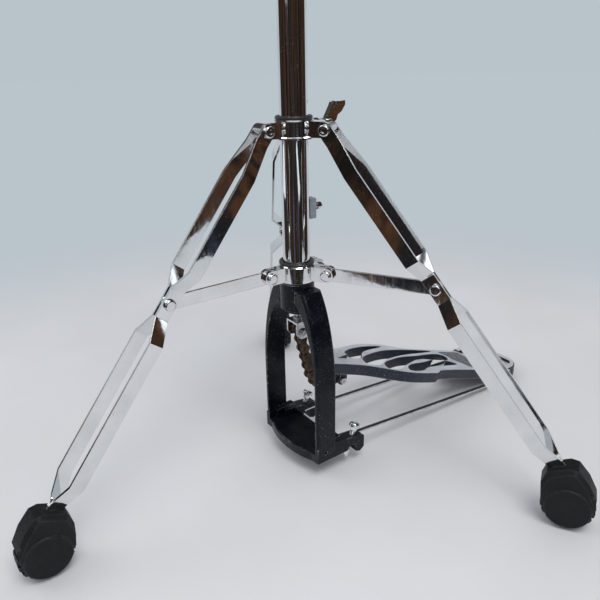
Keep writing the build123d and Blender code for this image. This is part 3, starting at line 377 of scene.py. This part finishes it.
def cleaned(node):
    """The CAD node's surface as one welded mesh, with flat faces as single polygons."""
    mesh = nodes[node].data.copy()
    work = bmesh.new()
    work.from_mesh(mesh)
    bmesh.ops.remove_doubles(work, verts=work.verts, dist=2e-6)
    bmesh.ops.dissolve_degenerate(work, dist=1e-6, edges=work.edges)
    bmesh.ops.dissolve_limit(work, angle_limit=math.radians(0.4), verts=work.verts, edges=work.edges)
    clean = bpy.data.meshes.new(node + "_mesh")
    work.to_mesh(clean)
    work.free()
    bpy.data.meshes.remove(mesh)
    return clean


def refined(node, material, edge, steps=2, angle=32.0):
    """A copy of a CAD node's shape with edges rounded by edge millimetres, shown in its place."""
    mesh = cleaned(node)
    piece = linked(node + "_finished", mesh)
    mesh.materials.append(material)
    mesh.polygons.foreach_set("use_smooth", [True] * len(mesh.polygons))
    bevel = piece.modifiers.new("rounded_edges", "BEVEL")
    bevel.width = edge * MM
    bevel.segments = steps
    bevel.limit_method = "ANGLE"
    bevel.angle_limit = math.radians(angle)
    bevel.miter_outer = "MITER_ARC"
    weighted = piece.modifiers.new("flat_faces", "WEIGHTED_NORMAL")
    weighted.keep_sharp = False
    weighted.weight = 80
    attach(piece, body_of(node))
    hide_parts(node)


def dressed(node, material):
    """A CAD node that is shown as it is, with a better material."""
    mesh = nodes[node].data
    for index in range(len(mesh.materials)):
        mesh.materials[index] = material
    if not mesh.materials:
        mesh.materials.append(material)


for number in (1, 2, 3):
    refined(f"leg_{number}_straps", chrome, 0.55, 3)
    refined(f"leg_{number}_brace", chrome, 0.5, 3)
    refined(f"leg_{number}_knee_rivet", chrome_dull, 0.25)
    refined(f"leg_{number}_foot", boot, 0.7, 3)
for node in ("upper_collar", "lower_collar", "height_clamp"):
    refined(node, chrome_dull, 0.5, 3)
for node in ("tripod_wing_screw", "clamp_wing_screw", "clutch_wing_screw"):
    refined(node, chrome_dull, 0.6, 3)
for node in ("lower_collar_bolt", "brace_rivets", "leg_top_rivets", "seat_holder", "seat_cup",
             "seat_pivot_screw", "tilter_screw", "clutch_body", "clutch_nuts"):
    refined(node, chrome_dull, 0.3)
for node in ("stirrup", "stirrup_nuts", "stirrup_screw", "chain_anchor_bolt", "rod_coupler", "hinge_pin"):
    refined(node, bright_steel if node == "stirrup" else zinc, 0.3)
for node in ("spur_bolt_left", "spur_bolt_right", "tension_screw"):
    refined(node, chrome_dull, 0.3)
refined("pedal_frame", frame_paint, 0.5, 3, 40.0)
refined("footboard", board, 0.9, 3, 35.0)
refined("heel_plate", heel, 0.7, 3)
refined("heel_pads", boot, 0.3)
refined("tension_block", grey_plastic, 0.5)
for node in ("upper_collar_bush", "lower_collar_bush", "clamp_bush", "spring_seat"):
    refined(node, black_nylon, 0.3)
for half in ("front", "rear"):
    refined(f"chain_{half}_plates", chain_steel, 0.3)
    refined(f"chain_{half}_rollers", chain_steel, 0.4)
    refined(f"chain_{half}_pins", chain_steel, 0.3)
for node in ("main_tube", "upper_tube", "upper_pull_rod"):
    dressed(node, chrome)
for node in ("radius_rod_left", "radius_rod_right", "lower_pull_rod"):
    dressed(node, bright_steel)
dressed("spring", zinc)


# ---------------------------------------------------------------- pieces made here
FELT_STEPS = 72
FELT_CORNER = 2.2 * MM
FELT_WAVES = 0.022                   # how far the felt's surface strays, as a share of its radius
FELT_LIFT = 7.0 * MM * FELT_WAVES
FELT_NOISE = 400                     # noise cells per metre
LIFT_OFFSET = Vector((31.7, 0, 0))   # keeps the up-and-down waves apart from the in-and-out ones
CORNER_STEPS = 6
CORNER_STEP = 90 / CORNER_STEPS


def turned(name, outline, centre, seed):
    """A felt ring turned about a vertical axis from a closed (radius, height) outline, a little uneven."""
    verts, faces = [], []
    for ring in range(FELT_STEPS):
        turn = 2 * math.pi * ring / FELT_STEPS
        for radius, height in outline:
            x, y = math.cos(turn) * radius, math.sin(turn) * radius
            sample = Vector((x * FELT_NOISE + seed, y * FELT_NOISE, height * FELT_NOISE))
            swell = 1 + FELT_WAVES * noise.noise(sample)
            lift = FELT_LIFT * noise.noise(sample + LIFT_OFFSET)
            verts.append((centre[0] + x * swell, centre[1] + y * swell, centre[2] + height + lift))
    count = len(outline)
    for ring in range(FELT_STEPS):
        for step in range(count):
            here, there = ring * count, ((ring + 1) % FELT_STEPS) * count
            after = (step + 1) % count
            faces.append((here + step, there + step, there + after, here + after))
    return linked(name, shape(name, verts, faces, felt, smooth=True))


def felt_outline(inner, outer, height, crown):
    """A felt washer's section: rounded outside, pressed in a little where the hole is."""
    points = [(inner, 0.0), (inner, height * 0.5), (inner + 0.3 * MM, height - crown)]
    centre = outer - FELT_CORNER
    for step in range(CORNER_STEPS + 1):
        angle = math.radians(90 - CORNER_STEP * step)
        rise = height - FELT_CORNER + FELT_CORNER * math.sin(angle)
        points.append((centre + FELT_CORNER * math.cos(angle), rise))
    points.append((outer + 0.25 * MM, height * 0.5))
    for step in range(CORNER_STEPS + 1):
        angle = math.radians(-CORNER_STEP * step)
        rise = FELT_CORNER + FELT_CORNER * math.sin(angle)
        points.append((centre + FELT_CORNER * math.cos(angle), rise))
    return points


def felt_ring(name, node, inner, outer, low, high, seed):
    """A felt washer round the tube's axis, from height low to height high."""
    outline = felt_outline(inner, outer, high - low, 0.5 * MM)
    ring = turned(name, outline, (0, AXIS_Y, low), seed)
    smooth = ring.modifiers.new("soft", "SUBSURF")
    smooth.levels = smooth.render_levels = 1
    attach(ring, body_of(node))
    return ring


SEAT_HOLE, CLUTCH_HOLE = 7.9 * MM, 5.9 * MM
FELT_INSET = 0.3 * MM                # the felts stay this far inside the CAD's outline

low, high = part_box("seat_felt")
seat_ring = felt_ring("seat_felt_soft", "seat_felt", SEAT_HOLE, high.x - FELT_INSET,
                      low.z + 0.1 * MM, high.z - 0.2 * MM, 3.0)
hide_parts("seat_felt")
low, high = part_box("clutch_felts")
middle = (low.z + high.z) / 2
upper_ring = felt_ring("clutch_felt_upper", "clutch_felts", CLUTCH_HOLE, high.x - FELT_INSET,
                       middle + 0.6 * MM, high.z - 0.2 * MM, 11.0)
felt_ring("clutch_felt_lower", "clutch_felts", CLUTCH_HOLE, high.x - FELT_INSET,
          low.z + 0.2 * MM, middle - 0.6 * MM, 17.0)
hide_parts("clutch_felts")


TURN_STEPS = 28
STEPS_PER_PITCH = 8
THREAD_SINK = 0.04 * MM              # the thread's root lies this far inside the plain shank


def thread(name, body, start, axis, length, radius, pitch, material, depth=0.28 * MM):
    """A helical thread ridge that stands a little proud of a screw's plain shank."""
    axis = Vector(axis).normalized()
    across = axis.orthogonal().normalized()
    around_axis = axis.cross(across)
    rise_steps = max(STEPS_PER_PITCH, int(length / pitch * STEPS_PER_PITCH))
    verts, faces = [], []
    for rise in range(rise_steps + 1):
        along = length * rise / rise_steps
        fade = min(1.0, 4 * min(rise, rise_steps - rise) / rise_steps)
        for step in range(TURN_STEPS):
            angle = 2 * math.pi * step / TURN_STEPS
            phase = (along / pitch - step / TURN_STEPS) % 1.0
            ridge = radius - THREAD_SINK + depth * fade * (1 - abs(2 * phase - 1)) ** 0.8
            out = across * math.cos(angle) + around_axis * math.sin(angle)
            verts.append(Vector(start) + axis * along + out * ridge)
    for rise in range(rise_steps):
        for step in range(TURN_STEPS):
            after = (step + 1) % TURN_STEPS
            below, above = rise * TURN_STEPS, (rise + 1) * TURN_STEPS
            faces.append((below + step, below + after, above + after, above + step))
    piece = linked(name, shape(name, verts, faces, material, smooth=True))
    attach(piece, body)


SPUR_MIDDLE_Y, SPUR_MIDDLE_Z = AXIS_Y - 40.6 * MM, 34.0 * MM
SPUR_TIP_BELOW = 23.5 * MM
SPUR_RADIUS = ROD_RADIUS = 3.0 * MM
CLUTCH_RADIUS = 5.4 * MM

for side in ("left", "right"):
    low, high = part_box(f"spur_bolt_{side}")
    middle = Vector(((low.x + high.x) / 2, SPUR_MIDDLE_Y, SPUR_MIDDLE_Z))
    tip = middle - SPUR_AXIS * SPUR_TIP_BELOW
    for end, start, length in (("tip", 4.2 * MM, 10.5 * MM), ("top", 23.8 * MM, 7.0 * MM)):
        thread(f"spur_thread_{side}_{end}", f"spur_{side}", tip + SPUR_AXIS * start, SPUR_AXIS,
               length, SPUR_RADIUS, 1.0 * MM, chrome_dull)
low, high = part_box("lower_pull_rod")
thread("pull_rod_thread", "pull_rod", (0, AXIS_Y, low.z + 9.6 * MM), (0, 0, 1),
       9.0 * MM, ROD_RADIUS, 1.0 * MM, bright_steel, 0.2 * MM)
low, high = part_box("clutch_body")
thread("clutch_thread", "clutch", (0, AXIS_Y, low.z + 0.2 * MM), (0, 0, 1),
       34.0 * MM, CLUTCH_RADIUS, 1.25 * MM, chrome_dull, 0.09 * MM)

RIB_COUNT = 9
RIB_FIRST, RIB_PITCH = 270.5 * MM, 5.0 * MM      # along the board
RIB_HALF_LENGTH, RIB_SLANT = 26 * MM, 8 * MM
RIB_SECTION = ((-1.0, -0.2), (-0.75, 0.9), (-0.35, 1.25), (0.35, 1.25), (0.75, 0.9), (1.0, -0.2))


def grip_ribs():
    """Slanting ribs that cross the sunk panel of the footboard, low enough to stay under its rim."""
    verts, faces = [], []
    count = len(RIB_SECTION)
    for index in range(RIB_COUNT):
        middle = RIB_FIRST + RIB_PITCH * index
        first = len(verts)
        for end in (-1, 1):
            centre = BOARD_ORIGIN + ALONG_BOARD * (middle - RIB_SLANT * end)
            centre += Vector((RIB_HALF_LENGTH * end, 0, 0)) - BOARD_NORMAL * HATCH_DEPTH
            for across, rise in RIB_SECTION:
                verts.append(centre + ALONG_BOARD * across * MM + BOARD_NORMAL * rise * MM)
        for step in range(count):
            after = (step + 1) % count
            faces.append((first + step, first + after, first + count + after, first + count + step))
        faces.append(tuple(first + step for step in range(count - 1, -1, -1)))
        faces.append(tuple(first + count + step for step in range(count)))
    mesh = shape("footboard_grip_ribs", verts, faces, board)
    work = bmesh.new()
    work.from_mesh(mesh)
    bmesh.ops.recalc_face_normals(work, faces=work.faces)
    work.to_mesh(mesh)
    work.free()
    piece = linked("footboard_grip_ribs", mesh)
    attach(piece, "pedal")


grip_ribs()


# ---------------------------------------------------------------- floor, light and camera
def floor_paper():
    """Pale paper that turns into the plain backdrop's own colour further out from the object."""
    s = Surface("floor_paper")
    distance = s.add("ShaderNodeVectorMath", operation="LENGTH")
    s.put(s.coords, distance.inputs[0])
    cloud = s.span(s.noise(5, 4, 0.5), 0.3, 0.7)
    near_color = s.mix(cloud, (0.66, 0.665, 0.68), (0.70, 0.71, 0.73))
    s.bump(s.noise(60, 4), 0.0006, 0.25)
    glow = s.add("ShaderNodeEmission")
    s.put(BACKDROP, glow.inputs["Color"])
    blend = s.add("ShaderNodeMixShader")
    s.put(s.span(distance.outputs["Value"], 0.60, 1.05), blend.inputs["Fac"])
    s.put(s.shader.outputs[0], blend.inputs[1])
    s.put(glow.outputs[0], blend.inputs[2])
    s.put(blend.outputs[0], s.tree.nodes["Material Output"].inputs["Surface"])
    return s.finish(near_color, 0.85, 0.0)


def stage_rectangle(name, towards_low, towards_high, side_low, side_high, material, height=0.0):
    """A level rectangle, measured from the tube towards the camera's side and to its right."""
    corners = []
    outline = ((towards_low, side_low), (towards_low, side_high),
               (towards_high, side_high), (towards_high, side_low))
    for towards, side in outline:
        place = TOWARDS_CAMERA * towards + SIDEWAYS * side
        corners.append((place.x, place.y + AXIS_Y, height))
    piece = linked(name, shape(name, corners, [(3, 2, 1, 0)], material))
    piece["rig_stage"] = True
    return piece


def lamp_material(name, color, strength):
    """A surface that only glows."""
    material = bpy.data.materials.new(name)
    material.use_nodes = True
    tree = material.node_tree
    tree.nodes.clear()
    emission = tree.nodes.new("ShaderNodeEmission")
    emission.inputs["Color"].default_value = (*color, 1.0)
    emission.inputs["Strength"].default_value = strength
    output = tree.nodes.new("ShaderNodeOutputMaterial")
    tree.links.new(emission.outputs[0], output.inputs["Surface"])
    return material


paper = floor_paper()
stage_rectangle("floor_paper", -PAPER_BEHIND, PAPER_TOWARDS, -PAPER_SIDE, PAPER_SIDE, paper)
around = (
    ("floor_towards", PAPER_TOWARDS, FLOOR_REACH, -FLOOR_REACH, FLOOR_REACH),
    ("floor_behind", -FLOOR_REACH, -PAPER_BEHIND, -FLOOR_REACH, FLOOR_REACH),
    ("floor_left", -PAPER_BEHIND, PAPER_TOWARDS, -FLOOR_REACH, -PAPER_SIDE),
    ("floor_right", -PAPER_BEHIND, PAPER_TOWARDS, PAPER_SIDE, FLOOR_REACH),
)
for name, *extent in around:
    stage_rectangle(name, *extent, paper).visible_glossy = False     # the chrome sees the room instead
GLOW_COLOR, GLOW_STRENGTH = (0.92, 0.97, 1.0), 1.1
BELOW_FLOOR = -1 * MM
for name, *extent in (("glow_left", -0.5, 0.15, -2.6, -1.38), ("glow_right", 1.15, 2.4, 0.62, 0.98)):
    glow = lamp_material(name, GLOW_COLOR, GLOW_STRENGTH)
    card = stage_rectangle(name, *extent, glow, BELOW_FLOOR)
    card.visible_camera = card.visible_diffuse = card.visible_shadow = False


def room():
    """What the chrome reflects: a wall that darkens upwards, and a dark warm room behind the viewer."""
    world = bpy.data.worlds.new("room")
    bpy.context.scene.world = world
    world.use_nodes = True
    world.node_tree.nodes.clear()
    w = Nodes(world.node_tree)

    def times(a, b):
        return w.math("MULTIPLY", a, b)

    def band(value, rise_low, rise_high, fall_low, fall_high):
        """1 between the two slopes, 0 outside them."""
        return times(w.span(value, rise_low, rise_high), w.span(value, fall_high, fall_low))

    parts = w.add("ShaderNodeSeparateXYZ")
    w.put(w.add("ShaderNodeTexCoord").outputs["Generated"], parts.inputs[0])
    height = parts.outputs["Z"]
    level = w.add("ShaderNodeCombineXYZ")
    w.put(parts.outputs["X"], level.inputs["X"])
    w.put(parts.outputs["Y"], level.inputs["Y"])
    unit = w.add("ShaderNodeVectorMath", operation="NORMALIZE")
    w.put(level.outputs[0], unit.inputs[0])
    back = w.dot(unit.outputs["Vector"], tuple(TOWARDS_CAMERA))
    side = w.dot(unit.outputs["Vector"], (-TOWARDS_CAMERA.y, TOWARDS_CAMERA.x, 0.0))

    upright = w.add("ShaderNodeCombineXYZ")
    w.put(back, upright.inputs["X"])
    w.put(side, upright.inputs["Y"])
    w.put(times(height, 0.35), upright.inputs["Z"])
    streaks = w.add("ShaderNodeTexNoise")
    w.put(upright.outputs[0], streaks.inputs["Vector"])
    for key, value in (("Scale", 4.2), ("Detail", 5.0), ("Roughness", 0.62)):
        w.put(value, streaks.inputs[key])
    ramp = w.add("ShaderNodeValToRGB")
    w.put(streaks.outputs["Fac"], ramp.inputs["Fac"])
    stops = [(0.0, (0.006, 0.006, 0.007)), (0.40, (0.010, 0.009, 0.009)), (0.45, (0.022, 0.014, 0.010)),
             (0.50, (0.095, 0.046, 0.024)), (0.52, (0.020, 0.017, 0.016)), (0.60, (0.010, 0.012, 0.017)),
             (0.66, (0.11, 0.13, 0.18)), (0.70, (0.030, 0.032, 0.042))]
    colors = ramp.color_ramp.elements
    colors.remove(colors[1])
    colors[0].position = stops[0][0]
    colors[0].color = (*stops[0][1], 1)
    for place, color in stops[1:]:
        colors.new(place).color = (*color, 1)

    window = times(band(side, 0.10, 0.16, 0.55, 0.62), band(height, 0.22, 0.27, 0.68, 0.75))
    window = times(window, w.span(back, 0.2, 0.3))
    second = times(band(side, -0.75, -0.70, -0.48, -0.42), band(height, 0.05, 0.10, 0.50, 0.55))
    windows = w.mix(second, w.mix(window, ramp.outputs["Color"], (1.9, 2.0, 2.15)), (1.25, 1.3, 1.4))
    ceiling = w.span(height, 0.90, 0.97)
    ceiling_color = (0.70, 0.70, 0.70)
    lit_room = w.mix(ceiling, windows, ceiling_color)
    wall = w.mix(w.span(height, 0.28, 0.40), (0.56, 0.61, 0.65), (0.06, 0.055, 0.055))
    wall = w.mix(ceiling, wall, ceiling_color)
    seen_in_gloss = w.mix(w.span(back, -0.42, -0.30), wall, lit_room)
    backdrop = w.mix(w.span(height, -0.2, 0.6), BACKDROP, (0.47, 0.53, 0.575))
    path = w.add("ShaderNodeLightPath")
    soft_fill = (0.56, 0.575, 0.60)
    unseen = w.mix(path.outputs["Is Glossy Ray"], soft_fill, seen_in_gloss)
    background = w.add("ShaderNodeBackground")
    w.put(w.mix(path.outputs["Is Camera Ray"], unseen, backdrop), background.inputs["Color"])
    output = w.add("ShaderNodeOutputWorld")
    w.put(background.outputs[0], output.inputs["Surface"])


room()


def softbox(name, place, target, size, power, color):
    """A rectangular lamp that looks at a target."""
    light = bpy.data.lights.new(name, "AREA")
    light.shape = "RECTANGLE"
    light.size, light.size_y = size
    light.energy = power
    light.color = color
    lamp = linked(name, light)
    lamp.location = place
    lamp.rotation_mode = "QUATERNION"
    lamp.rotation_quaternion = (Vector(target) - Vector(place)).to_track_quat("-Z", "Y")


softbox("key", (-1.15, 0.30, 2.2), (0, 0, 0.1), (1.2, 1.0), 26.0, (1.0, 0.985, 0.96))
softbox("fill", (0.9, 1.3, 1.6), (0, 0, 0.2), (1.0, 1.0), 6.0, (0.90, 0.95, 1.0))

camera = bpy.data.cameras.new("camera")
camera.sensor_width = VIEW_SENSOR
camera.lens = VIEW_LENS
camera.clip_start = 10 * MM
eye = linked("camera", camera)
eye.location = VIEW_PLACE
right = VIEW_FORWARD.cross(Vector((0, 0, 1))).normalized()
up = right.cross(VIEW_FORWARD)
rolled_right = math.cos(VIEW_ROLL) * right + math.sin(VIEW_ROLL) * up
rolled_up = -math.sin(VIEW_ROLL) * right + math.cos(VIEW_ROLL) * up
turn = Matrix((rolled_right, rolled_up, -VIEW_FORWARD)).transposed()
eye.rotation_mode = "QUATERNION"
eye.rotation_quaternion = turn.to_quaternion()
bpy.context.scene.camera = eye
bpy.context.scene.view_settings.view_transform = "Standard"

low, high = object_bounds()
